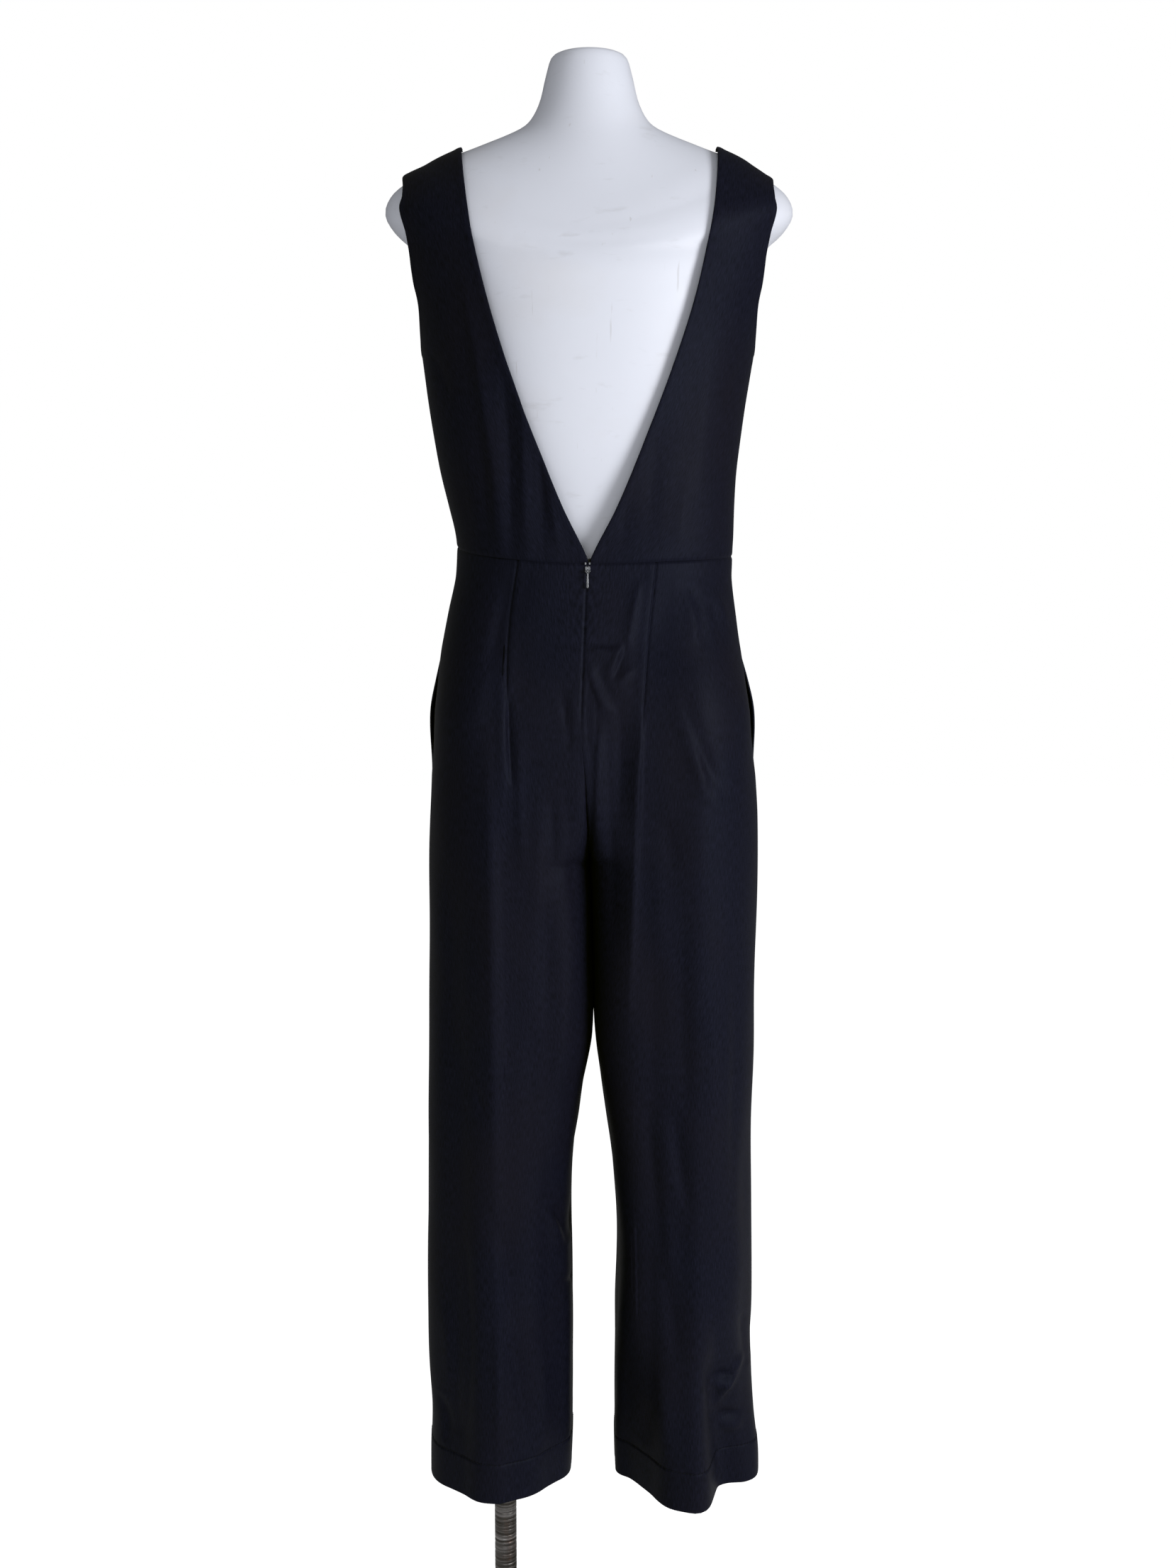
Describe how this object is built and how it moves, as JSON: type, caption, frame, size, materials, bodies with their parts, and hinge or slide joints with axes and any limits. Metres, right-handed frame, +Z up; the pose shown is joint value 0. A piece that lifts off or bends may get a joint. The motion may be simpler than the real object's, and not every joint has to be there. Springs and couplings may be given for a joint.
{
  "type": "jumpsuit on dress form",
  "caption": "Sleeveless long jumpsuit with a deep open V back, seam pockets and concealed back zip, on a limbless dress form with a pole stand.",
  "frame": {"origin": "centre of the base plate's underside, on the floor", "axes": "+Z up along the form, +Y towards the garment's back, +X towards the wearer's left"},
  "size_m": [0.4222, 0.38, 1.797],
  "materials": {
    "cloth": "black satin-backed crepe with a soft sheen",
    "pocketing": "black plain pocketing and zip tape",
    "zip_metal": "dark bright metal",
    "form_paint": "off-white satin paint, lightly scuffed",
    "pole_steel": "dark worn metal with silvery bands",
    "base_paint": "dark satin paint"
  },
  "bodies": {
    "jumpsuit_on_form": {"bodice_front": "cloth", "bodice_back_left": "cloth", "bodice_back_right": "cloth", "trouser_front_left": "cloth", "trouser_front_right": "cloth", "trouser_back_left": "cloth", "trouser_back_right": "cloth", "pocket_left": "pocketing", "pocket_right": "pocketing", "zip_tape": "pocketing", "zip_slider": "zip_metal", "form_torso": "form_paint", "form_flange": "pole_steel", "stand_pole": "pole_steel", "stand_collar": "pole_steel", "stand_base": "base_paint"},
    "pull_tab": {"zip_pull_tab": "zip_metal"}
  },
  "joints": [
    {"name": "tab_swing", "type": "hinge", "parent": "jumpsuit_on_form", "child": "pull_tab", "pos_m": [0.0015, 0.10407, 1.269], "axis": [1, 0, 0], "range_deg": [0, 150]}
  ]
}
